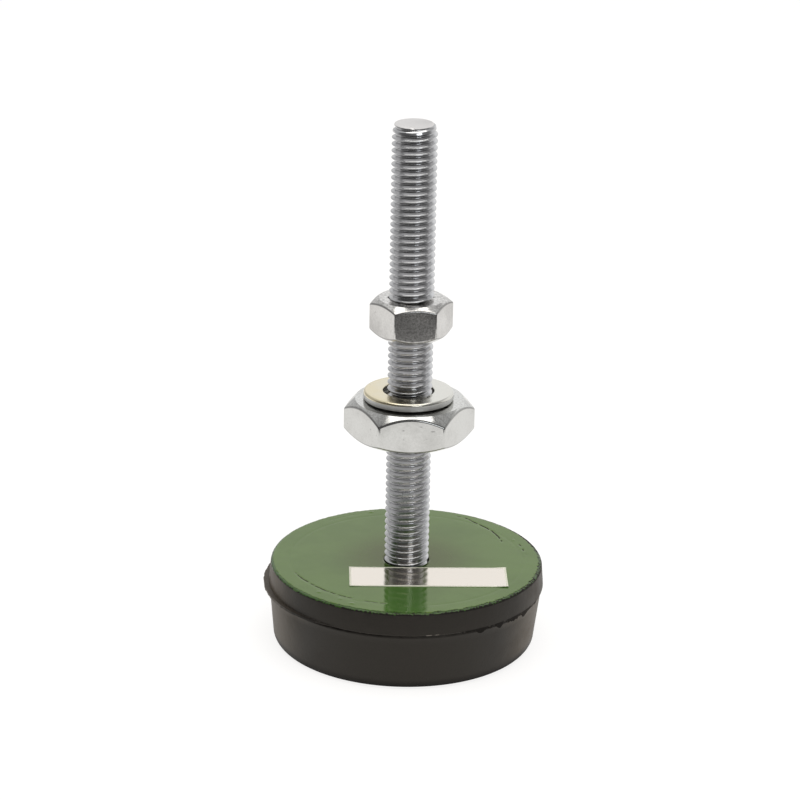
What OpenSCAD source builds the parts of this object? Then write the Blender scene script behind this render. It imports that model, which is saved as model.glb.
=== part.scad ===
// Levelling machine mount: a moulded rubber pad with a painted steel plate set in its top, and a
// fixed threaded stud that carries a broad levelling nut, a washer and a lock nut.
// Units are millimetres. The origin is on the stud's axis at the sole, +Z points up the stud.
// The threads are not cut: the stud is its major diameter and each nut's bore clears it.

/* [Thread] */
// Major diameter of the stud's coarse thread
thread_d = 9.9; // [8:0.1:12]
// Radial gap between the stud and a nut's bore
thread_clear = 0.05; // [0.02:0.01:0.1]
// Chamfer at each mouth of a nut's bore
bore_mouth = 0.15; // [0.1:0.05:0.8]

/* [Rubber pad] */
// Height of the pad from the sole to its painted top
pad_h = 18.5; // [16:0.5:24]
// Diameter of the upper band at the top edge
pad_d = 60.5; // [58:0.5:80]
// How far the upper band widens down to the parting line, on the radius
band_draft = 0.35; // [0:0.05:0.8]
// Height of the upper band, from the parting line to the top edge
band_h = 5; // [3:0.5:7]
// Rounding of the top edge
top_edge_r = 0.5; // [0.2:0.1:1]
// How far the lower half lies inside the band at the parting line
part_step = 0.85; // [0.4:0.05:2]
// How far the lower half narrows down to the sole, on the radius
foot_draft = 0.35; // [0:0.05:1]
// Rounding between the lower half and the sole
sole_edge_r = 2.6; // [1:0.1:4]
// How far the lower mould half sits to the left of the upper one
mould_shift = 0.35; // [0.1:0.05:0.6]
// How far the lobe of flash stands out of the band at the left
flash_reach = 1.2; // [0.6:0.1:2]
// How far the lobe's circle falls back inside the band a quarter turn away
flash_fade = 1.1; // [0.6:0.1:2]
// Thickness of the flash
flash_t = 0.6; // [0.3:0.1:1]
// Width of each grip groove in the sole
groove_w = 2.4; // [1.5:0.1:4]
// Depth of each grip groove
groove_depth = 1.2; // [0.6:0.1:2]
// Radius of the innermost grip groove, at its middle
groove_first_r = 8; // [6:0.5:10]
// Distance from one grip groove to the next
groove_pitch = 5.6; // [5:0.1:8]

/* [Steel plate] */
// Diameter of the plate
plate_d = 51.6; // [44:0.2:54]
// Thickness of the plate
plate_t = 4; // [3:0.5:5]
// Radial gap between the stud and the plate's hole
plate_hole_clear = 0.2; // [0.1:0.05:0.6]
// Chamfer on the rim of the plate's hole
plate_hole_chamfer = 0.1; // [0.1:0.05:0.8]
// Chamfer on the plate's lower edge
plate_edge_chamfer = 0.5; // [0.2:0.1:1]

/* [Paint] */
// Thickness of the enamel over the plate and the rubber round it
paint_t = 0.1; // [0.05:0.01:0.2]
// How far the enamel stops short of the rounding at the pad's top edge
paint_inset = 0.1; // [0:0.05:1]

/* [Weld nut] */
// Width across the flats of the nut welded under the plate
weld_nut_af = 16; // [14:0.5:20]
// Height of the weld nut
weld_nut_h = 7; // [5:0.5:8]

/* [Stud] */
// Height of the stud above the plate
stud_rise = 100.6; // [90:0.2:160]
// How far the stud stops above the weld nut's lower face
stud_inset = 1; // [0.5:0.5:2]
// Chamfer at each end of the stud
stud_chamfer = 0.55; // [0.3:0.05:1]

/* [Levelling nut] */
// Width across the flats of the levelling nut
level_af = 25; // [22:0.25:30]
// Height of the levelling nut
level_h = 8.4; // [7:0.1:11]
// Diameter of the flat faces inside the corner chamfers
level_face_d = 23.9; // [20:0.1:29]
// Slope of the upper corner chamfers, from the flat face
level_upper_angle = 44; // [30:1:45]
// Slope of the lower corner chamfers, from the flat face
level_lower_angle = 30; // [20:1:45]
// Height of the nut's lower face above the plate
level_gap = 29.9; // [5:0.1:45]
// Turn of the nut on the stud as it stands
level_turn = 2.6; // [0:0.1:60]

/* [Washer] */
// Outer diameter of the washer
washer_d = 19.8; // [18:0.1:24]
// Thickness of the washer
washer_t = 1.8; // [1.4:0.1:2.5]
// Radial gap between the stud and the washer's hole
washer_hole_clear = 0.67; // [0.4:0.01:0.8]
// Rounding that the punch leaves on the upper rim
washer_roll_r = 0.35; // [0.1:0.05:0.6]
// Break of the lower rim
washer_break = 0.25; // [0.1:0.05:0.5]
// How far the washer lies to the left of the stud's axis
washer_offset = 0.26; // [0:0.02:0.3]

/* [Lock nut] */
// Width across the flats of the lock nut
lock_af = 15.9; // [14:0.1:20]
// Height of the lock nut
lock_h = 8.4; // [6:0.1:11]
// Diameter of the flat faces inside the corner chamfers
lock_face_d = 14.1; // [12.5:0.1:19]
// Slope of the upper corner chamfers, from the flat face
lock_upper_angle = 30; // [20:1:40]
// Slope of the lower corner chamfers, from the flat face
lock_lower_angle = 35; // [20:1:40]
// Height left between the washer and the lock nut for the machine's foot
clamp_gap = 13.1; // [8:0.1:25]
// Turn of the nut on the stud as it stands
lock_turn = 7.2; // [0:0.1:60]

/* [Label] */
// Length of the blank label
label_l = 34.8; // [20:0.2:36]
// Width of the blank label
label_w = 10.5; // [6:0.5:12]
// Thickness of the label
label_t = 0.12; // [0.08:0.01:0.3]
// Turn of the label on the plate
label_turn = 2; // [0:0.5:5]
// Place of the label's middle to the right of the stud's axis
label_x = 4.9; // [0:0.1:8]
// Gap between the stud and the label's nearer long edge
label_gap = 0.15; // [0.1:0.05:4]

/* [Hidden] */
$fn = 96;

// Room that a cutting body is given past the face it cuts
past = 1;

thread_r = thread_d / 2;
bore_r = thread_r + thread_clear;

parting_z = pad_h - band_h;
band_r = pad_d / 2 + band_draft;
foot_r = band_r - part_step;
sole_r = foot_r - foot_draft - sole_edge_r;
flash_r = band_r - flash_fade;
flash_shift = flash_reach + flash_fade;

plate_r = plate_d / 2;
plate_z = pad_h - plate_t;
plate_hole_r = thread_r + plate_hole_clear;
weld_nut_z = plate_z - weld_nut_h;
paint_r = pad_d / 2 - top_edge_r - paint_inset;

stud_z = weld_nut_z + stud_inset;
stud_top = pad_h + stud_rise;

level_z = pad_h + level_gap;
washer_z = level_z + level_h;
lock_z = washer_z + washer_t + clamp_gap;

label_y = label_x * tan(label_turn) - (thread_r + label_gap + label_w / 2) / cos(label_turn);

// What lies outside an arc of radius r, to take away from a profile's upper right corner
module outside_of_arc(r) {
    difference() {
        square(r + past);
        circle(r);
    }
}

// A hexagon prism standing on z = 0 with flats towards -Y and +Y
module hex_prism(af, h) {
    cylinder(h = h, r = af / sqrt(3), $fn = 6);
}

// The bore of a nut with a chamfer at each mouth
module nut_bore(h) {
    rotate_extrude()
        polygon([[0, -past], [bore_r + bore_mouth + past, -past], [bore_r, bore_mouth],
                 [bore_r, h - bore_mouth], [bore_r + bore_mouth + past, h + past], [0, h + past]]);
}

// A nut whose corners are cut by two cones, each with a slope of its own
module hex_nut(af, h, face_d, lower_angle, upper_angle, turn) {
    face_r = face_d / 2;
    difference() {
        rotate(turn)
            intersection() {
                hex_prism(af, h);
                cylinder(h = h, r1 = face_r, r2 = face_r + h / tan(lower_angle));
                cylinder(h = h, r1 = face_r + h / tan(upper_angle), r2 = face_r);
            }
        nut_bore(h);
    }
}

// Upper mould half: a short band that widens to the parting line, with a soft top edge
module upper_band() {
    rotate_extrude()
        difference() {
            polygon([[0, parting_z], [band_r, parting_z], [pad_d / 2, pad_h], [0, pad_h]]);
            translate([pad_d / 2 - top_edge_r, pad_h - top_edge_r])
                outside_of_arc(top_edge_r);
        }
}

// Lower mould half: it narrows to the sole, and the edge of the sole is well rounded
module lower_half() {
    rotate_extrude()
        union() {
            polygon([[0, sole_edge_r], [foot_r - foot_draft, sole_edge_r],
                     [foot_r, parting_z], [0, parting_z]]);
            translate([sole_r, sole_edge_r])
                circle(sole_edge_r);
            square([sole_r, sole_edge_r]);
        }
}

// Thin rubber squeezed out between the mould halves, widest at the left
module flash() {
    translate([-flash_shift, 0, parting_z - flash_t])
        cylinder(h = flash_t, r = flash_r);
}

module sole_grooves() {
    for (r = [groove_first_r : groove_pitch : sole_r - groove_w])
        translate([0, 0, -past])
            difference() {
                cylinder(h = groove_depth + past, r = r + groove_w / 2);
                cylinder(h = groove_depth + past, r = r - groove_w / 2);
            }
}

module plate_body() {
    translate([0, 0, plate_z])
        union() {
            cylinder(h = plate_edge_chamfer, r1 = plate_r - plate_edge_chamfer, r2 = plate_r);
            translate([0, 0, plate_edge_chamfer])
                cylinder(h = plate_t - plate_edge_chamfer, r = plate_r);
        }
}

module rubber_pad() {
    color([0.17, 0.155, 0.15])
        difference() {
            union() {
                upper_band();
                translate([-mould_shift, 0, 0])
                    lower_half();
                flash();
            }
            plate_body();
            translate([0, 0, plate_z])
                cylinder(h = plate_t + past, r = plate_r);
            translate([0, 0, weld_nut_z])
                hex_prism(weld_nut_af, weld_nut_h + past);
            translate([-mould_shift, 0, 0])
                sole_grooves();
        }
}

module steel_plate() {
    color([0.5, 0.5, 0.5])
        difference() {
            plate_body();
            translate([0, 0, plate_z - past])
                cylinder(h = plate_t + 2 * past, r = plate_hole_r);
            translate([0, 0, pad_h - plate_hole_chamfer])
                cylinder(h = plate_hole_chamfer + past, r1 = plate_hole_r,
                         r2 = plate_hole_r + plate_hole_chamfer + past);
        }
}

// One skin of enamel over the plate and the rubber around it
module paint_coat() {
    color([0.28, 0.42, 0.2])
        translate([0, 0, pad_h])
            difference() {
                cylinder(h = paint_t, r = paint_r);
                translate([0, 0, -past])
                    cylinder(h = paint_t + 2 * past, r = plate_hole_r + plate_hole_chamfer);
            }
}

module weld_nut() {
    color([0.55, 0.55, 0.55])
        translate([0, 0, weld_nut_z])
            difference() {
                hex_prism(weld_nut_af, weld_nut_h);
                translate([0, 0, -past])
                    cylinder(h = weld_nut_h + 2 * past, r = bore_r);
            }
}

module threaded_stud() {
    tip_r = thread_r - stud_chamfer;
    color([0.66, 0.67, 0.69])
        rotate_extrude()
            polygon([[0, stud_z], [tip_r, stud_z], [thread_r, stud_z + stud_chamfer],
                     [thread_r, stud_top - stud_chamfer], [tip_r, stud_top], [0, stud_top]]);
}

module levelling_nut() {
    color([0.82, 0.82, 0.81])
        translate([0, 0, level_z])
            hex_nut(level_af, level_h, level_face_d, level_lower_angle, level_upper_angle,
                    level_turn);
}

module washer() {
    r = washer_d / 2;
    color([0.8, 0.77, 0.7])
        translate([-washer_offset, 0, washer_z])
            difference() {
                rotate_extrude()
                    difference() {
                        polygon([[0, 0], [r - washer_break, 0], [r, washer_break],
                                 [r, washer_t], [0, washer_t]]);
                        translate([r - washer_roll_r, washer_t - washer_roll_r])
                            outside_of_arc(washer_roll_r);
                    }
                translate([0, 0, -past])
                    cylinder(h = washer_t + 2 * past, r = thread_r + washer_hole_clear);
            }
}

module lock_nut() {
    color([0.72, 0.71, 0.7])
        translate([0, 0, lock_z])
            hex_nut(lock_af, lock_h, lock_face_d, lock_lower_angle, lock_upper_angle, lock_turn);
}

module label() {
    color([0.9, 0.88, 0.85])
        translate([label_x, label_y, pad_h + paint_t])
            rotate(label_turn)
                translate([-label_l / 2, -label_w / 2, 0])
                    cube([label_l, label_w, label_t]);
}

rubber_pad();
steel_plate();
paint_coat();
weld_nut();
threaded_stud();
levelling_nut();
washer();
lock_nut();
label();
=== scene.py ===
# %% [markdown]
# # A levelling machine mount
#
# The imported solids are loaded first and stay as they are. They say where each piece sits, and every
# new piece below is built in the same frame, in metres, around the stud's axis.

# %% Load the fixed frame
import math

import bmesh
import bpy
from mathutils import Matrix, Vector, noise


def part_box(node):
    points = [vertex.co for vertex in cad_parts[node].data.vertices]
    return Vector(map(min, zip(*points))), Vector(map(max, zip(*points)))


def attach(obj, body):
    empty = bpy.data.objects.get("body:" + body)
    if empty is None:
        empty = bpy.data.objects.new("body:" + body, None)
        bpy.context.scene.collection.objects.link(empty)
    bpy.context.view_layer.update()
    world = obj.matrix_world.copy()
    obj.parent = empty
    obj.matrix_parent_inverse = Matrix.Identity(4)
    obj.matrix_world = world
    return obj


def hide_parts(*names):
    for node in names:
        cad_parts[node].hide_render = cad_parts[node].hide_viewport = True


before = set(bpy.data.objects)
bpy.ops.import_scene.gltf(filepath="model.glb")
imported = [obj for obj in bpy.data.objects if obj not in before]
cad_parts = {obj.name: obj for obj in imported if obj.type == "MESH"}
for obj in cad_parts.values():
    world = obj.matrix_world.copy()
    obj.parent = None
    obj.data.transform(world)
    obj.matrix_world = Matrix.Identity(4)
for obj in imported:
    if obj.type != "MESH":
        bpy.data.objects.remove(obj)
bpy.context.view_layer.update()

MM = 0.001


print("nodes:", sorted(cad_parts))

# The colours of the photograph are written down plainly, so the picture uses the Standard view.
bpy.context.scene.view_settings.view_transform = "Standard"

# %% [markdown]
# ## Camera
#
# The photograph was taken from about 70 cm away, a little above the mount, with a long lens. The
# camera could be aimed at a point. Here it is placed by its own three directions, right, up and
# back, because they hold the photograph's small roll as well.

# %% Place the camera
CAMERA_PLACE = Vector((0, -700, 316.07)) * MM
CAMERA_PITCH, CAMERA_YAW, CAMERA_ROLL = 0.3553, -0.003, 0.019
FOCAL_PIXELS, PICTURE_PIXELS, SENSOR_MM = 3405.248, 800, 36

forward = Vector((math.sin(CAMERA_YAW) * math.cos(CAMERA_PITCH),
                  math.cos(CAMERA_YAW) * math.cos(CAMERA_PITCH), -math.sin(CAMERA_PITCH)))
level_right = Vector((math.cos(CAMERA_YAW), -math.sin(CAMERA_YAW), 0))
level_up = level_right.cross(forward)
right = level_right * math.cos(CAMERA_ROLL) + level_up * math.sin(CAMERA_ROLL)
up = level_up * math.cos(CAMERA_ROLL) - level_right * math.sin(CAMERA_ROLL)

camera_data = bpy.data.cameras.new("camera")
camera_data.sensor_width = SENSOR_MM
camera_data.lens = FOCAL_PIXELS * SENSOR_MM / PICTURE_PIXELS
camera_data.clip_start, camera_data.clip_end = 0.05, 20
camera = bpy.data.objects.new("camera", camera_data)
turn = Matrix((right, up, -forward)).transposed()
camera.matrix_world = Matrix.Translation(CAMERA_PLACE) @ turn.to_4x4()
bpy.context.scene.collection.objects.link(camera)
bpy.context.scene.camera = camera
print("lens in mm:", round(camera_data.lens, 2))

# %% [markdown]
# ## Shader maths as Python
#
# A finish is easier to read as an expression than as a web of nodes. Signal wraps one output socket,
# so that 1 - mask or a * 0.5 + b adds the Math nodes by itself. Sheet is the node sheet of one
# material: its node method takes a node's type, its settings and what goes into its sockets.

# %% Signals and sheets
MATT_BLACK = (0.006, 0.005, 0.0045, 1)


class Signal:
    def __init__(self, sheet, socket):
        self.sheet, self.socket = sheet, socket

    def math(self, operation, *values):
        return self.sheet.node("ShaderNodeMath", {"operation": operation}, dict(enumerate(values)))

    def __add__(self, other):
        return self.math("ADD", self, other)

    def __sub__(self, other):
        return self.math("SUBTRACT", self, other)

    def __rsub__(self, other):
        return self.math("SUBTRACT", other, self)

    def __mul__(self, other):
        return self.math("MULTIPLY", self, other)

    def __pow__(self, other):
        return self.math("POWER", self, other)

    __radd__, __rmul__ = __add__, __mul__

    def at_most(self, other):
        return self.math("MINIMUM", self, other)

    def at_least(self, other):
        return self.math("MAXIMUM", self, other)

    def size(self):
        return self.math("ABSOLUTE", self)

    def step(self, low, high):
        """0 below low, 1 above high, and a soft slope between. With low above high it falls."""
        return self.sheet.node("ShaderNodeMapRange", {"interpolation_type": "SMOOTHSTEP"},
                               {"Value": self, "From Min": low, "From Max": high})


class Sheet:
    def __init__(self, owner):
        owner.use_nodes = True
        self.tree = owner.node_tree
        self.tree.nodes.clear()

    def node(self, kind, settings=None, inputs=None, output=0):
        made = self.tree.nodes.new(kind)
        for name, value in (settings or {}).items():
            setattr(made, name, value)
        for name, value in (inputs or {}).items():
            if isinstance(value, Signal):
                self.tree.links.new(value.socket, made.inputs[name])
            else:
                made.inputs[name].default_value = value
        return Signal(self, made.outputs[output]) if made.outputs else None

    def place(self):
        return self.node("ShaderNodeTexCoord", output="Object")

    def painted(self, name):
        """A value from 0 to 1 that the mesh carries under this name."""
        return self.node("ShaderNodeAttribute", {"attribute_name": name}, output="Fac")

    def split(self, vector):
        source = self.node("ShaderNodeSeparateXYZ", inputs={0: vector}).socket.node
        return [Signal(self, source.outputs[axis]) for axis in "XYZ"]

    def grain(self, vector, per_mm, detail=2.0, stretch=(1, 1, 1)):
        """Noise from 0 to 1 with about per_mm bumps to the millimetre."""
        sized = self.node("ShaderNodeMapping", inputs={0: vector, "Scale": stretch})
        return self.node("ShaderNodeTexNoise", inputs={
            "Vector": sized, "Scale": per_mm / MM, "Detail": detail, "Roughness": 0.55})

    def blend(self, share, below, above):
        """One colour below, another above, by share."""
        first, second = (end if isinstance(end, Signal) else (*end, 1) for end in (below, above))
        return self.node("ShaderNodeMix", {"data_type": "RGBA"},
                         {0: share, 6: first, 7: second}, output=2)

    def bump(self, height, depth_mm):
        """Height from 0 to 1 stands for depth_mm of relief."""
        return self.node("ShaderNodeBump", inputs={"Height": height, "Distance": depth_mm * MM})

    def surface(self, matt=None, **inputs):
        """One Principled surface. Where matt is given, that share of it is a matt black."""
        named = {name.replace("_", " "): value for name, value in inputs.items()}
        shader = self.node("ShaderNodeBsdfPrincipled", inputs=named)
        if matt is not None:
            black = self.node("ShaderNodeBsdfDiffuse", inputs={0: MATT_BLACK})
            shader = self.node("ShaderNodeMixShader", inputs={0: matt, 1: shader, 2: black})
        self.node("ShaderNodeOutputMaterial", inputs={0: shader})


def new_finish(name):
    return bpy.data.materials.new(name)


print("shader helpers are ready")

# %% [markdown]
# ## Rubber
#
# The pad is black moulded rubber: nearly black, warm, with a dull satin skin. A painted sheen makes it
# paler and browner where it is seen at a slant. Torn rubber is matt and swallows the light; painted
# shade in the same matt black darkens the torn bits, the crease under the band and the sole's edge.
# Some of the green enamel ran over the top edge, more of it at the left, and the worn rim beside it
# is matt. Those ragged spots could be pieces of their own. Noise added to the height does the same
# in one finish.

# %% Rubber finish
PAD_TOP_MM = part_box("rubber_pad")[1].z / MM
RUBBER_BLACK, RUBBER_BLOOM = (0.0075, 0.0056, 0.0050), (0.019, 0.0155, 0.0135)
SLANT_SHEEN, SCUFF_GREY = (0.105, 0.078, 0.050), (0.16, 0.14, 0.12)
ENAMEL_DEEP, WARM_TINT = (0.050, 0.118, 0.024), (1, 0.95, 0.82, 1)
# Places between which an effect goes from none to full
SHEEN_HEIGHTS, SOLE_SHADE = (1.2 * MM, 3.5 * MM), (2.6 * MM, 0.6 * MM)
BAND_HEIGHTS, RIGHT_SIDE, BACK_SIDE = (13.2 * MM, 14 * MM), (15 * MM, 30 * MM), (2 * MM, 24 * MM)
WORN_RIM = ((PAD_TOP_MM - 0.55) * MM, (PAD_TOP_MM - 0.20) * MM)
# How far the spilt enamel reaches below the top, over how much height it thins out, both in mm, and
# how ragged it is
SPILL_REACH, SPILL_FADE, SPILL_RAGGED = 0.42, 0.30, 5.0
SPILT_GREEN = tuple(v * 0.75 for v in ENAMEL_DEEP)


def rubber_finish():
    finish = new_finish("rubber")
    s = Sheet(finish)
    place = s.place()
    x, y, z = s.split(place)
    bloom = s.grain(place, 0.12, 4).step(0.42, 0.75)
    skin = s.grain(place, 2.2, 3)
    # Painted sheen: paler and browner where the wall is seen at a slant, less near the floor and on the
    # band's right
    slant = s.node("ShaderNodeLayerWeight", inputs={"Blend": 0.5}, output="Facing").step(0.38, 0.80)
    slant = slant * z.step(*SHEEN_HEIGHTS)
    slant = slant * (1 - x.step(*RIGHT_SIDE) * z.step(*BAND_HEIGHTS) * 0.6)
    # Painted shadow: matt black on the sole's rounded edge, where the floor under the pad lies in shade
    foot = z.step(*SOLE_SHADE) * 0.75
    ragged = s.grain(place, 1.9, 4) + (y * 0.3 - x) * (0.0030 / MM)
    reach = (z - (PAD_TOP_MM - SPILL_REACH) * MM) * (1 / (SPILL_FADE * MM))
    reach = reach + (ragged - 0.5) * SPILL_RAGGED - y.step(*BACK_SIDE) * 1.1
    green = reach.step(0.75, 1.05)
    rim = z.step(*WORN_RIM) * (1 - green)
    black = s.blend(bloom * 0.6 + skin * 0.2, RUBBER_BLACK, RUBBER_BLOOM)
    black = s.blend(slant * (0.45 + skin * 0.5), black, SLANT_SHEEN)
    black = s.blend(s.painted("scuff"), black, SCUFF_GREY)
    # Matt black share: painted shade in the crease, at the lobe's end and at the sole, torn bits partly
    # painted shade, and the real worn rim
    s.surface(matt=s.painted("torn").at_least(rim * 0.5).at_least(foot) * (1 - green),
              Base_Color=s.blend(green, black, SPILT_GREEN),
              Roughness=(0.44 + bloom * 0.12 + skin * 0.06) * (1 - green) + green * 0.2,
              IOR=1.42, Specular_Tint=WARM_TINT,
              Normal=s.bump(skin * 0.7 + s.grain(place, 0.5, 2), 0.03))
    return finish


RUBBER = rubber_finish()
print("finish:", RUBBER.name)

# %% [markdown]
# ## Green enamel
#
# The enamel is a glossy film. It mirrors the stud that stands in it, so it needs a low roughness and
# only a breath of orange peel. A painted shadow of the nuts dulls it round the stud's foot, but not in
# front of it. Where the film cracked along the hidden rim of the steel plate, the black rubber shows:
# the mesh carries those cracks as an attribute, because they follow the piece.

# %% Enamel finish
ENAMEL_GREEN, ENAMEL_SHADED = (0.066, 0.142, 0.030), (0.036, 0.070, 0.008)
SPECK_GREEN, CRACK_BLACK = (0.03, 0.075, 0.016), (0.012, 0.016, 0.008)
GREEN_TINT = (1, 0.98, 0.15, 1)
SHADE_RADII, SHADE_SIDE = (18 * MM, 6 * MM), (-9 * MM, -3 * MM)


def enamel_finish():
    finish = new_finish("green_enamel")
    s = Sheet(finish)
    place = s.place()
    x, y = s.split(place)[:2]
    crack, edge = s.painted("crack"), s.painted("edge")
    peel = s.grain(place, 0.45, 2)
    cloud = s.grain(place, 0.07, 3).step(0.35, 0.7)
    specks = s.grain(place, 1.6, 2).step(0.70, 0.76)
    green = s.blend(cloud, ENAMEL_GREEN, ENAMEL_DEEP)
    from_stud = (x * x + y * y) ** 0.5
    # Painted shadow of the nuts: a duller, darker green round the stud's foot, not in front of it
    painted_shade = from_stud.step(*SHADE_RADII) * y.step(*SHADE_SIDE) * 0.9
    green = s.blend(painted_shade, green, ENAMEL_SHADED)
    worn = (edge + (s.grain(place, 2.0, 3) - 0.5) * 2.4).step(0.85, 1.15) * edge.step(0.05, 0.25) * 0.5
    bare = crack.step(0.35, 0.75).at_least(worn)
    colour = s.blend(bare, s.blend(specks * 0.35, green, SPECK_GREEN), CRACK_BLACK)
    s.surface(matt=bare * 0.65, Base_Color=colour,
              Roughness=0.045 + cloud * 0.025 + specks * 0.1 + bare * 0.3,
              IOR=1.5, Specular_Tint=GREEN_TINT, Normal=s.bump(peel, 0.006))
    return finish


ENAMEL = enamel_finish()
print("finish:", ENAMEL.name)

# %% [markdown]
# ## Zinc plate
#
# All the hardware is zinc plated, each in its own way: the stud is greyer and duller from rolling,
# the nuts are bright, and the washer has a warm, faintly yellow film. Five separate finishes would
# repeat the same nodes, so one recipe takes the colours, the roughness and the size of the tool
# marks. Noise varies the gloss in soft patches, as plating does. It is coarser on the tops of the
# nuts and on the lock nut's front, where the plate came out blotchy.

# %% Zinc finishes
# Scratches on the levelling nut's front, as (x, z, half length, half width) in mm
SCRATCHES = [(5.2, 53.7, 0.55, 0.10), (-1.2, 53.9, 0.30, 0.09), (2.6, 54.8, 0.35, 0.08)]
FRONT_SIDE, ROOT_SHADE_RADII = (-8 * MM, -9 * MM), (4.62 * MM, 4.12 * MM)
LOCK_FLATS, LOCK_TURN = 15.9, 7.2  # across flats in mm, and turned by so many degrees
LOCK_FRONT = tuple((LOCK_FLATS / 2 - depth) * MM for depth in (0.25, 0.05))


def zinc_finish(name, clean, stained, roughness, relief_mm, dull=(0.6, 0.6, 0.6), root_shade=0.0,
                drift=0.0, stretch=(1, 1, 1), mottle=0.0, speckle=0.0, scratches=()):
    """Zinc plate. The roots' share paints shade into a thread's grooves, and drift stains the side
    towards -X more. Mottle is how much blotchier the lock nut's front is, and speckle how much
    blotchier a nut's top is."""
    finish = new_finish(name)
    s = Sheet(finish)
    place = s.place()
    x, y, z = s.split(place)
    worn = s.painted("worn")
    patches = s.grain(place, 0.16, 4).step(0.38, 0.72)
    fine = s.grain(place, 2.2, 3, stretch=stretch)
    pits = s.grain(place, 1.1, 2).step(0.71, 0.78)
    from_axis = (x * x + y * y) ** 0.5
    # Painted shade in the thread's roots, and along the nuts' ridges a painted dark reflection
    groove = (from_axis.step(*ROOT_SHADE_RADII) * root_shade).at_least(s.painted("dark_ridge_reflection"))
    turn = math.radians(LOCK_TURN)
    towards_front = x * math.sin(turn) - y * math.cos(turn)
    blotches = 0.6 + towards_front.step(*LOCK_FRONT) * mottle + s.painted("top") * speckle
    share = patches * 0.4 + (fine - 0.5) * blotches + 0.3 - x * (drift / MM)
    colour = s.blend(share.at_least(0).at_most(1), clean, stained)
    for mark_x, mark_z, long, thin in scratches:
        along, across = (x - mark_x * MM) * (1 / (long * MM)), (z - mark_z * MM) * (1 / (thin * MM))
        mark = (along ** 2 + across ** 2).step(1.4, 0.4)
        groove = groove.at_least(mark * y.step(*FRONT_SIDE) * 0.8)
    colour = s.blend(pits * 0.5 + groove, colour, tuple(v * 0.3 for v in stained))
    s.surface(Base_Color=s.blend(worn, colour, dull), Metallic=1.0,
              Roughness=roughness + patches * 0.05 + fine * 0.05 + pits * 0.15 + worn * 0.25,
              Normal=s.bump(fine, relief_mm))
    return finish


STUD_ZINC = zinc_finish("zinc_stud", clean=(0.62, 0.62, 0.63), stained=(0.48, 0.48, 0.485),
                        dull=(0.66, 0.645, 0.635), roughness=0.13, relief_mm=0.0003, root_shade=0.28)
NUT_ZINC = zinc_finish("zinc_nut", clean=(0.66, 0.66, 0.64), stained=(0.50, 0.495, 0.475),
                       roughness=0.10, relief_mm=0.0010, speckle=4.5, scratches=SCRATCHES)
LOCK_ZINC = zinc_finish("zinc_lock_nut", clean=(0.70, 0.69, 0.67), stained=(0.42, 0.41, 0.395),
                        roughness=0.12, relief_mm=0.0006, mottle=4.5, speckle=3.0)
WASHER_ZINC = zinc_finish("zinc_washer", clean=(0.68, 0.67, 0.62), stained=(0.70, 0.625, 0.44),
                          dull=(0.60, 0.60, 0.58), roughness=0.14, relief_mm=0.002, drift=0.07,
                          stretch=(1, 0.25, 1))
PLAIN_STEEL = zinc_finish("plain_steel", clean=(0.30, 0.30, 0.29), stained=(0.16, 0.17, 0.14),
                          roughness=0.32, relief_mm=0.005)
print("finishes:", STUD_ZINC.name, NUT_ZINC.name, LOCK_ZINC.name, WASHER_ZINC.name, PLAIN_STEEL.name)

# %% [markdown]
# ## Silver foil
#
# The label is a shiny silver foil: it shows the stud almost as a mirror does. A narrow pale margin
# runs round it, where the foil ends and the backing shows. The margin could be a second sheet below
# the foil. The distance to the nearest edge marks it just as well on one sheet.

# %% Foil finish
LABEL_TURN = math.radians(2)
LABEL_LENGTH, LABEL_WIDTH, LABEL_THICK = 34.8 * MM, 10.5 * MM, 0.12 * MM
label_low, label_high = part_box("label")
LABEL_MIDDLE = (label_low + label_high) / 2
FOIL_MARGIN, MARGIN_SOFT, MARGIN_WANDER = 0.42 * MM, 0.06 * MM, 0.12 * MM
BACKING_PALE, FOIL_SILVER = (0.78, 0.77, 0.63), (0.80, 0.74, 0.665)


def foil_finish():
    finish = new_finish("label_foil")
    s = Sheet(finish)
    place = s.place()
    own = s.node("ShaderNodeMapping", {"vector_type": "TEXTURE"}, {
        0: place, "Location": LABEL_MIDDLE, "Rotation": (0, 0, LABEL_TURN)})
    x, y = s.split(own)[:2]
    wander = (s.grain(place, 0.6, 2) - 0.5) * MARGIN_WANDER
    inward = (LABEL_LENGTH / 2 - x.size()).at_most(LABEL_WIDTH / 2 - y.size()) + wander
    foil = inward.step(FOIL_MARGIN - MARGIN_SOFT, FOIL_MARGIN + MARGIN_SOFT)
    haze = s.grain(place, 0.5, 3)
    s.surface(Base_Color=s.blend(foil, BACKING_PALE, FOIL_SILVER),
              Metallic=foil * 0.96, Roughness=0.5 - foil * 0.41 + haze * 0.05, IOR=1.5,
              Normal=s.bump(haze, 0.004))
    return finish


FOIL = foil_finish()
print("finish:", FOIL.name)

# %% [markdown]
# ## Turning a bmesh into a piece
#
# Nearly every new piece is round about the stud's axis. It could be spun in one go. Here an eighth of
# a turn is spun and seven copies close the round, because the same helper then stacks the turns of
# a thread. Every piece ends the same way: faces turned outwards, shading smooth with sharp edges
# kept, then it rides on its body and stands for its CAD node.

# %% Finish a piece
ARCS, MERGE_MM = 8, 0.0008


def make_piece(name, bm, finish, body, node, sharp_degrees=38):
    bmesh.ops.recalc_face_normals(bm, faces=bm.faces)
    mesh = bpy.data.meshes.new(name)
    bm.to_mesh(mesh)
    bm.free()
    mesh.polygons.foreach_set("use_smooth", [True] * len(mesh.polygons))
    mesh.set_sharp_from_angle(angle=math.radians(sharp_degrees))
    mesh.materials.append(finish)
    piece = bpy.data.objects.new(name, mesh)
    bpy.context.scene.collection.objects.link(piece)
    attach(piece, body)
    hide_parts(node)
    print(name, "has", sum(len(polygon.vertices) - 2 for polygon in mesh.polygons), "triangles")
    return piece


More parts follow.
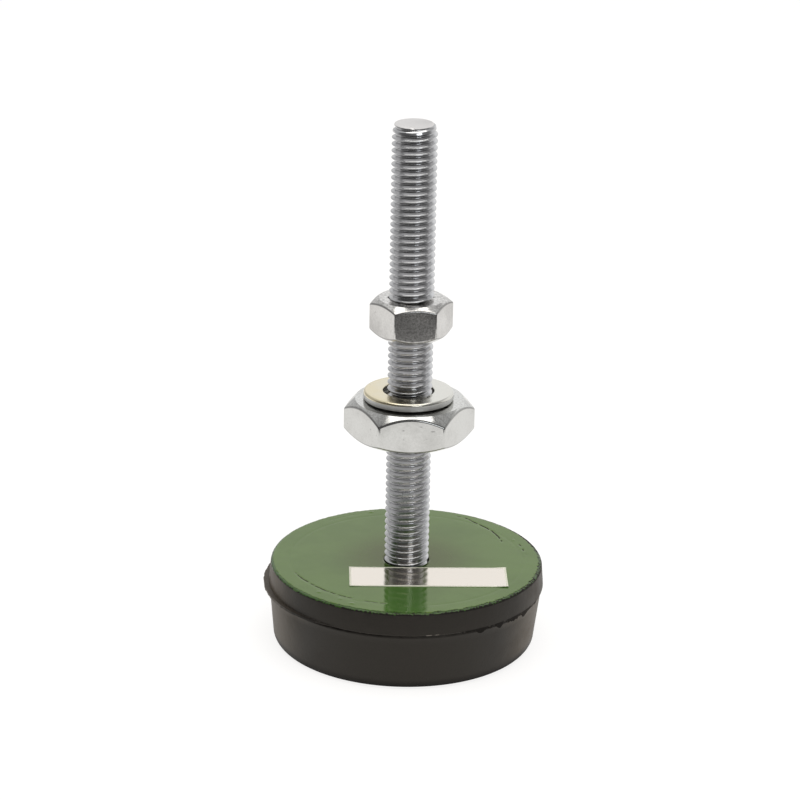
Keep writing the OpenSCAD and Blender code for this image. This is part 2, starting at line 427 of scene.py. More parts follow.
def repeat(bm, count, angle, climb):
    """Puts count - 1 copies of all of bm after it, each turned and raised from the one before."""
    first = bm.verts[:] + bm.edges[:] + bm.faces[:]
    for number in range(1, count):
        copy = bmesh.ops.duplicate(bm, geom=first)["geom"]
        points = [item for item in copy if isinstance(item, bmesh.types.BMVert)]
        move = Matrix.Translation((0, 0, climb * number * MM)) @ Matrix.Rotation(angle * number, 4, "Z")
        bmesh.ops.transform(bm, matrix=move, verts=points)
    bmesh.ops.remove_doubles(bm, verts=bm.verts, dist=MERGE_MM * MM)


def lathe(bm, outline, steps, climb=0.0):
    """Turns an outline of (radius, height) points in mm once about the stud's axis while it climbs."""
    points = [bm.verts.new((radius * MM, 0, height * MM)) for radius, height in outline]
    lines = [bm.edges.new(pair) for pair in zip(points, points[1:])]
    bmesh.ops.spin(bm, geom=points + lines, cent=(0, 0, 0), axis=(0, 0, 1),
                   dvec=(0, 0, climb / steps * MM), angle=2 * math.pi / ARCS, steps=steps // ARCS,
                   use_merge=False)
    repeat(bm, ARCS, 2 * math.pi / ARCS, climb / ARCS)


def polar(vertex):
    return math.hypot(vertex.co.x, vertex.co.y) / MM, math.atan2(vertex.co.y, vertex.co.x)


def set_radius(vertex, radius, angle):
    vertex.co.x, vertex.co.y = radius * MM * math.cos(angle), radius * MM * math.sin(angle)


print("piece helpers are ready")

# %% [markdown]
# ## Thread
#
# A thread is one short outline, a single pitch long, turned about the axis while it climbs a pitch
# on each turn. The end of one turn falls on the start of the next, so merging the doubles closes the
# surface. A Screw modifier could do it too, but here the points can still be moved: the stud's
# chamfer only presses the crests in where a cone passes, as a tool would, so the thread runs out
# of it by itself.

# %% Thread outline and helix
PITCH, MAJOR_R, ROOT_R = 1.5, 4.95, 4.05
CREST_AT = -0.09  # height of a crest on the +X side, up to whole pitches
HALF_OUTLINE = [(ROOT_R, 0.75), (ROOT_R + 0.01, 0.68), (ROOT_R + 0.06, 0.60), (4.20, 0.535),
                (4.55, 0.33), (4.80, 0.185), (4.885, 0.13), (4.93, 0.075), (MAJOR_R, 0.02)]
THREAD_OUTLINE = [(r, -h) for r, h in HALF_OUTLINE] + [(r, h) for r, h in reversed(HALF_OUTLINE)]
TURN_STEPS = 56


def thread(bm, low, high, gap=0.0):
    """A right-hand thread surface from below low to above high, in mm, gap wider than the stud's."""
    first = math.floor((low - CREST_AT) / PITCH) - 1
    turns = math.ceil((high - CREST_AT) / PITCH) + 1 - first
    start = CREST_AT + first * PITCH
    outline = [(radius + gap, start + height) for radius, height in THREAD_OUTLINE]
    lathe(bm, outline, TURN_STEPS, PITCH)
    repeat(bm, turns, 0, PITCH)


def trim(bm, height, keep_below):
    """Cuts all of bm at a height in mm and returns the edges of the cut."""
    cut = bmesh.ops.bisect_plane(bm, geom=bm.verts[:] + bm.edges[:] + bm.faces[:], dist=1e-8,
                                 plane_co=(0, 0, height * MM), plane_no=(0, 0, 1),
                                 clear_outer=keep_below, clear_inner=not keep_below)
    return [item for item in cut["geom_cut"] if isinstance(item, bmesh.types.BMEdge)]


print("the thread's outline has", len(THREAD_OUTLINE), "points to a pitch of", PITCH, "mm")

# %% [markdown]
# ### The stud
#
# The real stud is cut from threaded rod: a flat, slightly dull end with a small chamfer, into which
# the last groove runs out and leaves a nick. The thread is made too long and both ends are cut by a
# plane, because the edge of the cut then follows the helix.

# %% Build the stud
STUD_LOW, STUD_HIGH = (corner.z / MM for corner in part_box("threaded_stud"))
END_FACE_R, END_TAPER = 4.4, 0.27
NICK_DEGREES, NICK_HALF_WIDTH, NICK_DEPTH = -97, 5, 0.45


def build_stud():
    bm = bmesh.new()
    thread(bm, STUD_LOW, STUD_HIGH)
    for vertex in bm.verts:
        radius, angle = polar(vertex)
        height = vertex.co.z / MM
        inside = min(STUD_HIGH - height, height - STUD_LOW)
        limit = END_FACE_R + END_TAPER * inside if inside > 0 else END_FACE_R + inside
        if radius > limit:
            set_radius(vertex, limit, angle)
    for height, keep_below in ((STUD_HIGH, True), (STUD_LOW, False)):
        rim = trim(bm, height, keep_below)
        bmesh.ops.holes_fill(bm, edges=rim, sides=0)
    worn = bm.verts.layers.float.new("worn")
    for vertex in bm.verts:
        radius, angle = polar(vertex)
        if STUD_HIGH - vertex.co.z / MM < 0.02:
            vertex[worn] = 1.0
            if abs(math.degrees(angle) - NICK_DEGREES) < NICK_HALF_WIDTH:
                set_radius(vertex, radius - NICK_DEPTH, angle)
    make_piece("stud_thread", bm, STUD_ZINC, "base", "threaded_stud")


build_stud()

# %% [markdown]
# ### The nuts
#
# A hexagon nut is a turned blank with six flats. Here a plain tube is lathed first, with one ring of
# points for each line of the profile. Each point is then moved to its place: the flats' radius is a
# rounded hexagon, the corner chamfers are cones that fall from the flat faces, and a soft curve joins
# them, with a painted dark reflection along it. Cones could cut a hexagonal prism instead, but its
# ridges would come out hard. More of the lathe's steps go to the corners, where the shape turns
# fastest. The flats are shaded flat. The bore is the stud's thread, one hair wider.

# %% Build the nuts
NUT_STEPS, CORNER_CROWD, CORNER_SHARPNESS = 288, 0.86, 170
BORE_LIMIT_R, FACE_RING, THREAD_GAP, RIDGE_SOFT = 5.015, 5.4, 0.06, 0.30
BLANK_R, RIDGE_DARK_REFLECTION, RIDGE_TOP = 10, 0.6, 0.6
# Rings from the bore to the side: what each lies on, and how far along that it is, from 0 to 1
HALF_NUT = [("face", 0.0), ("face", 0.9), ("face", 1.0), ("cone", 0.3), ("cone", 0.65)]
HALF_NUT += [("ridge", step / 4) for step in range(5)]


def flats_radius(angle, across_flats, turn):
    """Radius of a hexagon with softly rounded corners and flats towards -Y and +Y."""
    total = 0.0
    for face in range(6):
        share = math.cos(angle - turn - math.radians(30 + 60 * face))
        total += max(share, 0.0) ** CORNER_SHARPNESS
    return across_flats / 2 / total ** (1 / CORNER_SHARPNESS)


def nut_point(kind, share, face_r, side_r, slope):
    """Radius of a ring's point, and its distance from the nearer face, in mm."""
    if kind == "face":
        return FACE_RING + (face_r - FACE_RING) * share, 0.0
    start_r = side_r - RIDGE_SOFT
    start = Vector((start_r, (start_r - face_r) * slope))
    if kind == "cone":
        return face_r + (start_r - face_r) * share, start.y * share
    ridge = Vector((side_r, (side_r - face_r) * slope))
    end = ridge + Vector((0, RIDGE_SOFT))
    return start * (1 - share) ** 2 + ridge * (2 * share * (1 - share)) + end * share ** 2


def build_nut(name, node, finish, across_flats, face_d, lower_degrees, upper_degrees, turn_degrees):
    low, high = (corner.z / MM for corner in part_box(node))
    turn = math.radians(turn_degrees)
    rings = HALF_NUT + [("side", 0.5)] + HALF_NUT[::-1]
    bm = bmesh.new()
    lathe(bm, [(BLANK_R, number) for number in range(len(rings))], NUT_STEPS)
    dark_ridge_reflection, top = (bm.verts.layers.float.new(layer) for layer in ("dark_ridge_reflection", "top"))
    for vertex in bm.verts:
        number = round(vertex.co.z / MM)
        kind, share = rings[number]
        angle = polar(vertex)[1]
        angle -= CORNER_CROWD * math.sin(6 * (angle - turn)) / 6
        side_r = flats_radius(angle, across_flats, turn)
        upper = number > len(HALF_NUT)
        slope = math.tan(math.radians(upper_degrees if upper else lower_degrees))
        if kind == "side":
            radius, inward = side_r, (high - low) / 2
        else:
            radius, inward = nut_point(kind, share, face_d / 2, side_r, slope)
        set_radius(vertex, radius, angle)
        vertex.co.z = (high - inward if upper else low + inward) * MM
        # A painted dark reflection along the middle of each corner ridge
        vertex[dark_ridge_reflection] = RIDGE_DARK_REFLECTION if kind == "ridge" and 0.2 < share < 0.8 else 0.0
        vertex[top] = 1.0 if upper and (kind != "ridge" or share < RIDGE_TOP) else 0.0
    add_bore(bm, low, high)
    nut = make_piece(name, bm, finish, node, node)
    # The end faces and the six flats are shaded flat, and the rest smooth
    for polygon in nut.data.polygons:
        x, y, z = polygon.normal
        off_flat = math.remainder(math.atan2(y, x) - turn - math.radians(30), math.radians(60))
        if abs(z) > 0.99999 or (abs(z) < 0.003 and abs(off_flat) < math.radians(0.4)):
            polygon.use_smooth = False


def add_bore(bm, low, high):
    """Cuts a nut's thread in a mesh of its own and bridges it to the open rings of the nut."""
    rings = [edge for edge in bm.edges if edge.is_boundary]
    bore = bmesh.new()
    thread(bore, low, high, THREAD_GAP)
    for vertex in bore.verts:
        radius, angle = polar(vertex)
        set_radius(vertex, min(radius, BORE_LIMIT_R), angle)
    for height, keep_below in ((high, True), (low, False)):
        trim(bore, height, keep_below)
    mesh = bpy.data.meshes.new("bore")
    bore.to_mesh(mesh)
    bore.free()
    known = set(bm.verts)
    bm.from_mesh(mesh)
    bpy.data.meshes.remove(mesh)
    cuts = [edge for edge in bm.edges if edge.is_boundary and edge.verts[0] not in known]
    for height in (low, high):
        pair = [edge for edge in rings + cuts if abs(edge.verts[0].co.z / MM - height) < 1e-3]
        bmesh.ops.bridge_loops(bm, edges=pair)


build_nut("levelling_nut_threaded", "levelling_nut", NUT_ZINC, across_flats=25, face_d=23.9,
          lower_degrees=30, upper_degrees=44, turn_degrees=2.6)
build_nut("lock_nut_threaded", "lock_nut", LOCK_ZINC, across_flats=LOCK_FLATS, face_d=14.1,
          lower_degrees=35, upper_degrees=30, turn_degrees=LOCK_TURN)

# %% [markdown]
# ### The washer
#
# A washer is punched from strip. The punch draws the upper rim down into a soft roll and leaves a
# sharper, slightly torn edge below, inside and out. A bevel would round both rims alike, so one
# closed outline is turned instead, and noise roughens its walls by a few hundredths. Nothing clamps
# the washer, so it leans: its back edge lies on the nut and its front edge stands a little off it.

# %% Build the washer
WASHER_OFFSET, WASHER_HOLE_R, WASHER_R, WASHER_T = -0.26, 5.62, 9.9, 1.8
WASHER_LEAN, WASHER_STEPS = math.radians(1.0), 240
ROLL_R, HOLE_ROLL_R = 0.58, 0.2
TEAR_DEPTH, TORN_LOW, TORN_HIGH, DULL_BELOW = 0.025, 0.1, 0.9, 1.2


def arc(middle, radius, start, end, count):
    """Points of an arc, in degrees, as (radius, height) pairs."""
    steps = [math.radians(start + (end - start) * i / count) for i in range(count + 1)]
    return [(middle[0] + radius * math.cos(a), middle[1] + radius * math.sin(a)) for a in steps]


def build_washer():
    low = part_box("washer")[0].z / MM
    outline = [(WASHER_HOLE_R, 0.12), (WASHER_HOLE_R + 0.06, 0.0), (WASHER_R - 0.22, 0.0),
               (WASHER_R - 0.05, 0.08), (WASHER_R, 0.25), (WASHER_R, 0.75), (WASHER_R - 0.02, 0.85),
               (WASHER_R - 0.02, 1.10)]
    outline += arc((WASHER_R - 0.60, WASHER_T - ROLL_R), ROLL_R, 5, 90, 8)
    outline += [(WASHER_R - 1.5, WASHER_T), (WASHER_HOLE_R + 0.9, WASHER_T)]
    outline += arc((WASHER_HOLE_R + HOLE_ROLL_R, WASHER_T - HOLE_ROLL_R), HOLE_ROLL_R, 90, 180, 4)
    outline += [(WASHER_HOLE_R, 0.9), (WASHER_HOLE_R, 0.12)]
    bm = bmesh.new()
    lathe(bm, [(radius, low + height) for radius, height in outline], WASHER_STEPS)
    worn = bm.verts.layers.float.new("worn")
    for vertex in bm.verts:
        radius, angle = polar(vertex)
        height = vertex.co.z / MM - low
        tear = noise.noise(Vector((9 * math.cos(angle), 9 * math.sin(angle), height * 4)))
        on_torn_wall = TORN_LOW < height < TORN_HIGH
        set_radius(vertex, radius + (TEAR_DEPTH * tear if on_torn_wall else 0), angle)
        vertex.co.x += WASHER_OFFSET * MM
        vertex[worn] = 1.0 if height < DULL_BELOW else 0.0
    back_edge = (0, WASHER_R * MM, low * MM)
    bmesh.ops.rotate(bm, verts=bm.verts, cent=back_edge, matrix=Matrix.Rotation(-WASHER_LEAN, 3, "X"))
    make_piece("punched_washer", bm, WASHER_ZINC, "washer", "washer")


build_washer()

# %% [markdown]
# ### The rubber pad
#
# The pad comes from a two-part mould whose halves don't quite meet. The upper band overhangs the
# lower half, flash was squeezed out in a lobe at the left, and at the right front it was torn off in
# bits. Each of those could be a piece stuck on, but then seams would show. So the outline is turned
# once and the points along the parting line are moved: out for the lobe, down for the torn bits, and
# the whole lower half a little to the left.

# %% Build the pad
PARTING, BAND_R, LIP_R, LIP_HALF = 13.5, 30.6, 30.43, 0.15
PAD_TOP_R, TOP_EDGE_R = 30.25, 0.5
MOULD_SHIFT, SHIFT_ENDS_AT = 0.42, 20  # sideways at the sole, and the height at which it would end
LOBE_SHIFT, LOBE_R, FLASH_T, FULL_FLASH_REACH = 2.3, 29.5, 0.6, 0.8
# How far noise moves the lip, the band and its top edge, in mm
LIP_GRAIN, LIP_SAG, BAND_WAVE, BAND_GRAIN, EDGE_GRAIN = 0.03, 0.05, 0.05, 0.02, 0.04
LOBE_END, LOBE_END_WIDTH = -132, 13  # where the lobe runs out towards the front, in degrees
TORN_MIDDLE, TORN_HALF_WIDTH, LONGEST_TEAR = -41, 27, 1.2  # in degrees, and in mm
SOLE_R, SOLE_EDGE, FOOT_R, FOOT_DRAFT = 27.0, 2.2, 30.4, 1.2
PLATE_R, PLATE_LOW, POCKET_R, POCKET_LOW, WELD_NUT_FLATS = 25.8, 14.5, 9.24, 7.5, 16
GROOVES = [(6.8, 9.2), (12.4, 14.8), (18.0, 20.4)]
GROOVE_DEPTH, PAD_STEPS = 1.2, 480
SCUFFS = [(-81.6, -79.0), (-77.9, -75.8)]  # pale scuffs on the band's lower lip, in degrees


def pad_outline():
    outline = [(0, 0)]
    for inner, outer in GROOVES:
        outline += [(inner, 0), (inner, GROOVE_DEPTH), (outer, GROOVE_DEPTH), (outer, 0)]
    outline += arc((SOLE_R, SOLE_EDGE), SOLE_EDGE, -90, 0, 9)
    wall = PARTING - 0.1 - SOLE_EDGE
    for share in (0.2, 0.4, 0.6, 0.8, 0.93):
        outline.append((FOOT_R - FOOT_DRAFT * (1 - share), SOLE_EDGE + wall * share))
    outline += [(FOOT_R - 0.02, PARTING - 0.75), (FOOT_R - 0.08, PARTING - 0.45),
                (FOOT_R - 0.2, PARTING - 0.25), (FOOT_R - 0.22, PARTING - 0.1)]
    outline += [(LIP_R + 0.01, PARTING - 0.07), (BAND_R - 0.12, PARTING - 0.06),
                (BAND_R - 0.03, PARTING), (BAND_R, PARTING + 0.1), (BAND_R, PARTING + 0.22),
                (BAND_R - 0.02, PARTING + 0.36), (BAND_R - 0.03, PARTING + 0.6),
                (BAND_R - 0.12, PARTING + 1.8), (BAND_R - 0.24, PARTING + 3.2)]
    outline += arc((PAD_TOP_R - TOP_EDGE_R, PAD_TOP_MM - TOP_EDGE_R), TOP_EDGE_R, 0, 90, 5)
    outline += [(28.0, PAD_TOP_MM), (PLATE_R, PAD_TOP_MM), (PLATE_R, PLATE_LOW + 0.5),
                (PLATE_R - 0.5, PLATE_LOW), (POCKET_R, PLATE_LOW), (POCKET_R, POCKET_LOW),
                (0, POCKET_LOW)]
    return outline


def lobe_reach(angle):
    """How far the lobe of flash stands out of the band, in mm, at an angle about the axis."""
    across = LOBE_SHIFT * math.sin(angle)
    circle = math.sqrt(LOBE_R ** 2 - across ** 2) - LOBE_SHIFT * math.cos(angle)
    return max(0.0, circle - BAND_R)


def ring_noise(angle, pace, seed):
    """Noise from -1 to 1 that closes on itself round the pad."""
    return noise.noise(Vector((pace * math.cos(angle), pace * math.sin(angle), seed)))


def torn(angle):
    """Height in mm of the torn bits that hang from the band at the right front."""
    degrees = math.degrees(angle)
    window = max(0.0, 1 - abs((degrees - TORN_MIDDLE) / TORN_HALF_WIDTH) ** 4)
    broad, narrow = max(0.0, ring_noise(angle, 17, 4.1)), max(0.0, ring_noise(angle, 40, 9.3))
    bits = 0.10 + 1.9 * broad + 1.1 * narrow + 0.45 * ring_noise(angle, 95, 0.7)
    return window * min(max(bits, 0.0), LONGEST_TEAR)


def torn_and_shade_share(radius, height, angle):
    """How matt and dark the rubber is: painted shade in the crease under the band and where the lobe
    runs out, and on the torn bits real matt rubber deepened by painted shade.
    """
    lobe_end = math.exp(-((math.degrees(angle) - LOBE_END) / LOBE_END_WIDTH) ** 2)
    if radius > LIP_R and height < PARTING + LIP_HALF:
        return min(torn(angle) / 0.3 + 0.5 * lobe_end, 0.7)
    if radius > FOOT_R - 0.4 and PARTING - 0.6 < height < PARTING:
        return min(0.25 + 0.35 * ring_noise(angle, 30, 2.6) + 0.55 * lobe_end, 0.8)
    return 0.15 if PARTING - 0.8 < height < PARTING - 0.6 and radius > FOOT_R - 0.4 else 0.0


def build_pad():
    bm = bmesh.new()
    lathe(bm, pad_outline(), PAD_STEPS)
    torn_and_shade_layer, scuff_layer = (bm.verts.layers.float.new(name) for name in ("torn", "scuff"))
    for vertex in bm.verts:
        radius, angle = polar(vertex)
        height = vertex.co.z / MM
        on_lip = radius > LIP_R and abs(height - PARTING) < LIP_HALF
        # Painted shade in the crease and at the lobe's end, and on the torn bits real matt rubber
        # deepened by painted shade
        vertex[torn_and_shade_layer] = torn_and_shade_share(radius, height, angle)
        scuffed = any(first < math.degrees(angle) < last for first, last in SCUFFS)
        vertex[scuff_layer] = 1.0 if scuffed and on_lip else 0.0
        in_pocket = radius < PLATE_R + 0.01 and height > POCKET_LOW - 0.01
        if in_pocket and abs(radius - POCKET_R) < 0.01:
            radius = flats_radius(angle, WELD_NUT_FLATS, 0)
        lobe = lobe_reach(angle)
        swell = min(lobe / FULL_FLASH_REACH, 1)
        rough = ring_noise(angle, 30, 1.7)
        lower_half = height < PARTING and radius < LIP_R
        if on_lip:
            radius += lobe * (1 + 0.12 * rough) + LIP_GRAIN * max(ring_noise(angle, 55, 3), 0)
            if height < PARTING + 0.05:
                height -= torn(angle) + swell * (FLASH_T - 0.12)
            height -= LIP_SAG * max(rough, 0)
        elif height > PARTING and not in_pocket and radius > PLATE_R + 0.5:
            radius += BAND_WAVE * ring_noise(angle, 3, 7) + BAND_GRAIN * ring_noise(angle, 40, height)
            if height > PAD_TOP_MM - 0.45:
                radius += EDGE_GRAIN * ring_noise(angle, 60, 5.5)
        set_radius(vertex, radius, angle)
        vertex.co.z = height * MM
        if lower_half and not in_pocket:
            vertex.co.x -= MOULD_SHIFT * (1 - height / SHIFT_ENDS_AT) * MM
    make_piece("moulded_pad", bm, RUBBER, "base", "rubber_pad", 50)


build_pad()

# %% [markdown]
# ### The enamel film
#
# The enamel lies over the plate and the rubber as one film, a tenth of a millimetre thick. It could be
# a skin taken off both, but a ring of its own can have many fine steps near its rim, where it is
# worn: it cracked along the plate's hidden edge, a few dust nibs stand up in it, and its outer edge
# is ragged.

# %% Build the enamel
FILM_HOLE_R, FILM_R, FILM_T, FILM_STEPS = 5.09, 29.65, 0.1, 512
# Beyond LOOSE_R the film is stretched or drawn in to its ragged edge. The edge lies about WORN_R, and
# HELD_MORE further out where the film holds best.
LOOSE_R, WORN_R, HELD_MORE, WORN_BAND = 28.9, 29.42, 0.40, 1.1
CRACK_DEPTH, FILM_WAVE = 0.085, 0.012
DENT_R, DENT_WIDTH, DENT_DEPTH = 26.0, 0.35, 0.02  # the plate's rim shows through as a shallow ring
# Cracks as (angle in degrees, radius in mm) points, each with its strength
CRACKS = [
    ([(200, 26.1), (212, 25.7), (222, 25.5), (233, 25.4), (243, 25.3)], 0.85),
    ([(249, 25.4), (254, 25.25), (261, 25.2)], 0.75),
    ([(62, 28.05), (57.5, 27.4), (56, 27.1), (48.5, 26.3), (42, 25.9), (32.5, 24.8), (27, 24.15)], 1.0),
    ([(66.5, 28.1), (63.5, 28.0)], 0.8),
    ([(128.9, 27.9), (120, 27.9), (112.7, 27.9)], 0.3),
    ([(22, 27.2), (18, 27.2)], 0.9),
    ([(15.5, 27.0), (12.5, 27.0)], 0.9),
    ([(9, 27.1), (7, 27.1)], 0.6),
]
# Dust nibs and dimples as (x, y, radius, height) in mm
NIBS = [(-8.4, 27.0, 0.35, 0.16), (-11.6, -25.3, 0.4, 0.14), (-18.9, -19.5, 0.35, 0.14),
        (15.0, 9.5, 0.3, -0.07), (-14.2, -22.9, 0.3, 0.10), (24.1, 12.0, 0.3, 0.08)]


def crack_at(radius, angle):
    """From 0 to 1, how open the film is cracked here."""
    degrees = math.degrees(angle) % 360
    deepest = 0.0
    for points, strength in CRACKS:
        ordered = sorted(points)
        first, last = ordered[0][0], ordered[-1][0]
        if not first - 1 < degrees < last + 1:
            continue
        inside = min(max(degrees, first), last)
        for (a, ra), (b, rb) in zip(ordered, ordered[1:]):
            if a <= inside <= b:
                middle = ra + (rb - ra) * (inside - a) / (b - a)
        middle += 0.12 * ring_noise(angle, 40, 2.2)
        width = 0.20 + 0.10 * ring_noise(angle, 25, 6.1)
        fade = min((degrees - first + 1) / 2, (last + 1 - degrees) / 2, 1)
        gap = 1 if ring_noise(angle, 32, 8.8) > -0.28 else 0.35
        deepest = max(deepest, strength * fade * gap * math.exp(-((radius - middle) / width) ** 2))
    return deepest


def film_edge(angle):
    """Radius in mm at which the film stops: it holds on best at the left and the back."""
    hold = 0.5 + 0.5 * math.cos(angle - math.radians(135))
    ragged = 0.30 * ring_noise(angle, 26, 3.3) + 0.20 * ring_noise(angle, 60, 1.1)
    ragged += 0.18 * ring_noise(angle, 75, 5.7)
    return WORN_R + HELD_MORE * hold + ragged * (1.2 - 0.7 * hold)


def pad_drop(radius):
    """How far the pad's rounded edge has fallen below its top at a radius, in mm."""
    over = max(0.0, radius - (PAD_TOP_R - TOP_EDGE_R))
    return TOP_EDGE_R - math.sqrt(max(TOP_EDGE_R ** 2 - over ** 2, 0.0))


def build_enamel():
    radii = [FILM_HOLE_R + 0.06, 5.6, 6.4, 8, 11, 14, 17, 20, 22.5, 23.6]
    radii += [23.8 + 0.2 * i for i in range(28)] + [29.35]
    top = [(radius, PAD_TOP_MM + FILM_T) for radius in radii]
    outline = [(FILM_HOLE_R, PAD_TOP_MM), (FILM_HOLE_R, PAD_TOP_MM + FILM_T * 0.6)] + top
    outline += [(FILM_R - 0.05, PAD_TOP_MM + FILM_T * 0.8), (FILM_R, PAD_TOP_MM + FILM_T * 0.3),
                (FILM_R - 0.02, PAD_TOP_MM), (28, PAD_TOP_MM), (FILM_HOLE_R, PAD_TOP_MM)]
    bm = bmesh.new()
    lathe(bm, outline, FILM_STEPS)
    crack_layer, edge_layer = (bm.verts.layers.float.new(name) for name in ("crack", "edge"))
    for vertex in bm.verts:
        radius, angle = polar(vertex)
        height = vertex.co.z / MM
        if radius > LOOSE_R:
            edge = film_edge(angle)
            radius = LOOSE_R + (radius - LOOSE_R) * (edge - LOOSE_R) / (FILM_R - LOOSE_R)
            front_right = 0.62 + 0.33 * math.cos(angle + math.radians(50))
            vertex[edge_layer] = max(0.0, 1 - (edge - radius) / WORN_BAND) * front_right
        if height > PAD_TOP_MM + FILM_T * 0.5:
            crack = crack_at(radius, angle)
            vertex[crack_layer] = crack
            x, y = radius * math.cos(angle), radius * math.sin(angle)
            height -= CRACK_DEPTH * crack
            height += FILM_WAVE * noise.noise(Vector((x, y, 0)) * 0.35)
            height -= DENT_DEPTH * math.exp(-((radius - DENT_R) / DENT_WIDTH) ** 2)
            for nib_x, nib_y, nib_r, nib_h in NIBS:
                away = math.hypot(x - nib_x, y - nib_y) / nib_r
                height += nib_h * math.exp(-away ** 2)
        set_radius(vertex, radius, angle)
        vertex.co.z = (height - pad_drop(radius)) * MM
    make_piece("enamel_film", bm, ENAMEL, "base", "paint_coat")


build_enamel()

# %% [markdown]
# ### The label
#
# A sticker is a thin sheet that follows what is under it, with corners that have begun to lift. A
# cloth simulation could drape it, but it hardly bends. So a fine grid is thickened, and its points
# are raised by a slow wave and at the corners, at the right twice as much as at the left.

# %% Build the label
LABEL_WAVE, EDGE_WANDER, EDGE_BAND = 0.012, 0.03, 0.05
CORNER_FROM, RIGHT_LIFT, LEFT_LIFT = 1.82, 0.9, 0.45


def build_label():
    half_length, half_width = LABEL_LENGTH / 2 / MM, LABEL_WIDTH / 2 / MM
    bm = bmesh.new()
    bmesh.ops.create_grid(bm, x_segments=70, y_segments=22, size=0.5)
    bmesh.ops.scale(bm, vec=(LABEL_LENGTH, LABEL_WIDTH, 1), verts=bm.verts)
    bmesh.ops.solidify(bm, geom=bm.faces, thickness=-LABEL_THICK)
    middle = sum((v.co.z for v in bm.verts), 0.0) / len(bm.verts)
    for vertex in bm.verts:
        x, y = vertex.co.x / MM, vertex.co.y / MM
        upper = vertex.co.z > middle
        wave = LABEL_WAVE + LABEL_WAVE * noise.noise(Vector((x, y, 3)) * 0.22)
        corner = abs(x) / half_length + abs(y) / half_width - CORNER_FROM
        lift = max(0.0, corner) * (RIGHT_LIFT if x > 0 else LEFT_LIFT)
        vertex.co.z = (wave + lift + (LABEL_THICK / MM if upper else 0.0)) * MM
        if abs(y) > half_width - EDGE_BAND or abs(x) > half_length - EDGE_BAND:
            vertex.co.y += EDGE_WANDER * MM * noise.noise(Vector((x * 0.5, y, 8)))
    place = Matrix.Translation((LABEL_MIDDLE.x, LABEL_MIDDLE.y, label_low.z))
    bmesh.ops.transform(bm, matrix=place @ Matrix.Rotation(LABEL_TURN, 4, "Z"), verts=bm.verts)
    make_piece("foil_label", bm, FOIL, "base", "label")


build_label()

# %% [markdown]
# ### The hidden steel
#
# The plate under the enamel and the nut welded to it keep their CAD shapes. Only the plate's bore
# can be seen, as a dark slit round the stud, so new meshes would show nothing more. They only get
# a steel finish.

# %% Finish the hidden steel
for node in ("steel_plate", "weld_nut"):
    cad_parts[node].data.materials.clear()
    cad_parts[node].data.materials.append(PLAIN_STEEL)
    print(node, "keeps its CAD shape")

# %% [markdown]
# ## Floor
#
# The mount stands on white paper that ends 17 to 20 cm in front of it. At both sides it is dimmer
# from 15 cm out, and further back at the right than at the left. The bright faces of the lower nut
# mirror the paper, and the dark front of the upper nut mirrors what lies beyond its edge, as the
# darker flanks of the stud do. Stronger lamps could whiten the paper, but they would burn the mount
# out as well. So for the camera and for reflections the paper shows its own white, and part of it
# still answers to light and keeps a shadow.

# %% Build the floor
FLOOR_R = 4.0
FRONT_EDGE = (-200 * MM, -165 * MM)
SIDE_DIM, BACK_END, RIGHT_REACH = (150 * MM, 195 * MM), (50 * MM, 0), 80 * MM


def seen_rays(sheet):
    """Two signals: 1 for the camera's rays, and 1 for its rays and those of reflections and glass."""
    camera_ray, mirror_ray, glass_ray = (
        sheet.node("ShaderNodeLightPath", output=name)
        for name in ("Is Camera Ray", "Is Glossy Ray", "Is Transmission Ray"))
    return camera_ray, (camera_ray + mirror_ray + glass_ray).at_most(1)


def paper_finish():
    finish = new_finish("paper")
    s = Sheet(finish)
    x, y = s.split(s.place())[:2]
    camera_ray, seen = seen_rays(s)
    skew = y - x.step(-100 * MM, 100 * MM) * RIGHT_REACH
    beside = x.size().step(*SIDE_DIM) * skew.step(*BACK_END)
    white = (y.step(*FRONT_EDGE) * (1 - beside * 0.6)).at_least(camera_ray)
    share = white * (0.85 - seen * 0.64) + 0.015
    answer = s.node("ShaderNodeBsdfDiffuse", inputs={0: s.blend(share, (0, 0, 0), (1, 1, 1))})
    glow = s.node("ShaderNodeEmission", inputs={0: (1, 0.99, 0.98, 1), 1: seen * (white * 0.77 + 0.08)})
    both = s.node("ShaderNodeAddShader", inputs={0: answer, 1: glow})
    s.node("ShaderNodeOutputMaterial", inputs={0: both})
    return finish


def build_floor():
    bm = bmesh.new()
    bmesh.ops.create_circle(bm, cap_ends=True, radius=FLOOR_R, segments=64)
    mesh = bpy.data.meshes.new("floor")
    bm.to_mesh(mesh)
    bm.free()
    mesh.materials.append(paper_finish())
    floor = bpy.data.objects.new("floor", mesh)
    bpy.context.scene.collection.objects.link(floor)
    print("the floor reaches", FLOOR_R, "m from the mount")


build_floor()

# %% [markdown]
# ## Light
#
# A broad round softbox hangs overhead. It lights the enamel, casts the soft shade of the nuts round
# the stud and whitens the chamfers that face it. A small lamp at the right of the camera draws the
# bright streak down the stud. Cards could stand round the mount for the zinc to mirror, but the
# world can show the same room: pale behind and at the sides, dim in front, greyer low down, at the
# left and high at the right, and dark overhead round the softbox.

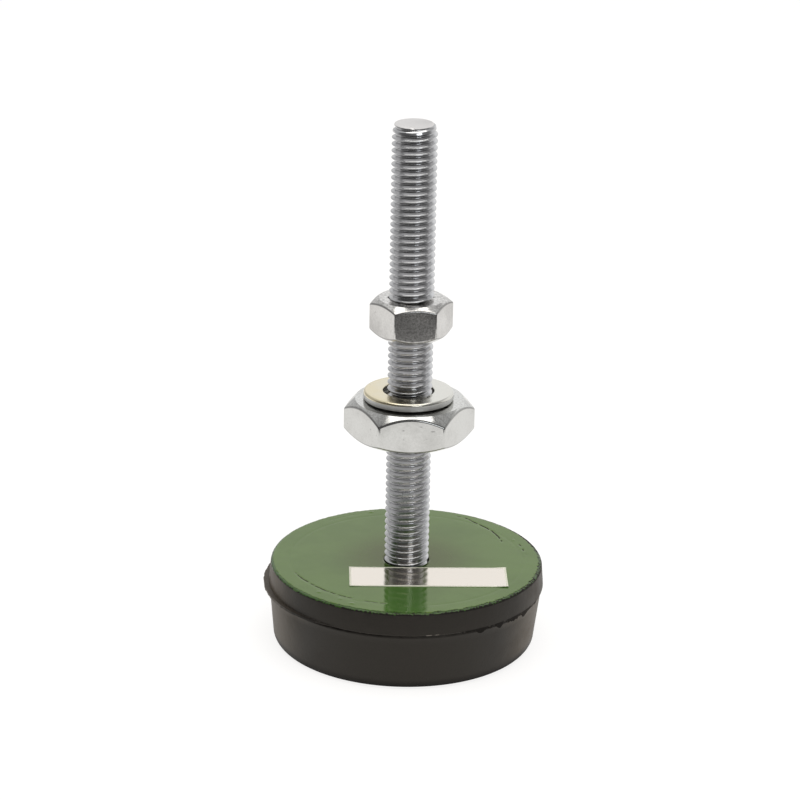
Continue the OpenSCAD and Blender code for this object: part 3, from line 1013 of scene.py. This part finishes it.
# %% Lamps and world
def add_lamp(name, shape, place, target, width, height, radiance, colour):
    """A flat lamp whose power is worked out from the brightness that its face shows."""
    data = bpy.data.lights.new(name, "AREA")
    data.shape, data.size, data.size_y = shape, width, height
    area = width * height * (math.pi / 4 if shape == "ELLIPSE" else 1)
    data.energy, data.color = radiance * math.pi * area, colour
    lamp = bpy.data.objects.new(name, data)
    lamp.location = place
    lamp.rotation_euler = (Vector(target) - Vector(place)).to_track_quat("-Z", "Y").to_euler()
    lamp.visible_camera = False
    bpy.context.scene.collection.objects.link(lamp)
    print(name, "gives", round(data.energy, 2), "W")


add_lamp("softbox", "ELLIPSE", place=(0.02, -0.05, 1.06), target=(0.02, -0.05, 0),
         width=1.12, height=1.12, radiance=2.35, colour=(1, 0.99, 0.97))
add_lamp("side_lamp", "RECTANGLE", place=(0.32, -0.72, 0.36), target=(0, 0, 0.05),
         width=0.36, height=0.22, radiance=3.5, colour=(0.92, 0.955, 1))

FRONT_GREY, BEHIND_MORE, CEILING_GREY, FILL = 0.23, 0.81, 0.12, 0.42


def build_world():
    world = bpy.data.worlds.new("studio")
    bpy.context.scene.world = world
    s = Sheet(world)
    x, y, z = s.split(s.node("ShaderNodeTexCoord", output="Generated"))
    camera_ray, seen = seen_rays(s)
    room = FRONT_GREY + (y - x.step(0.3, 0.8) * 0.08).step(-0.28, 0.3) * BEHIND_MORE
    ceiling = z.step(0.83, 0.88)
    room = room * (1 - ceiling) + ceiling * CEILING_GREY
    dim_left = x.step(-0.05, -0.60) * z.step(0.95, 0.60) * 0.45
    dim_low = z.step(0.22, 0.06) * (0.42 - x.step(-0.4, 0.4) * 0.27)
    dim_high = z.step(0.42, 0.62) * x.step(0.2, 0.5) * y.step(-0.1, 0.2) * 0.48
    room = room * (1 - dim_left.at_least(dim_low).at_least(dim_high))
    strength = (room * seen + FILL * (1 - seen)) * (1 - camera_ray) + camera_ray
    sky = s.node("ShaderNodeBackground", inputs={0: (0.99, 0.995, 1, 1), 1: strength})
    s.node("ShaderNodeOutputWorld", inputs={0: sky})
    print("world:", world.name)


build_world()
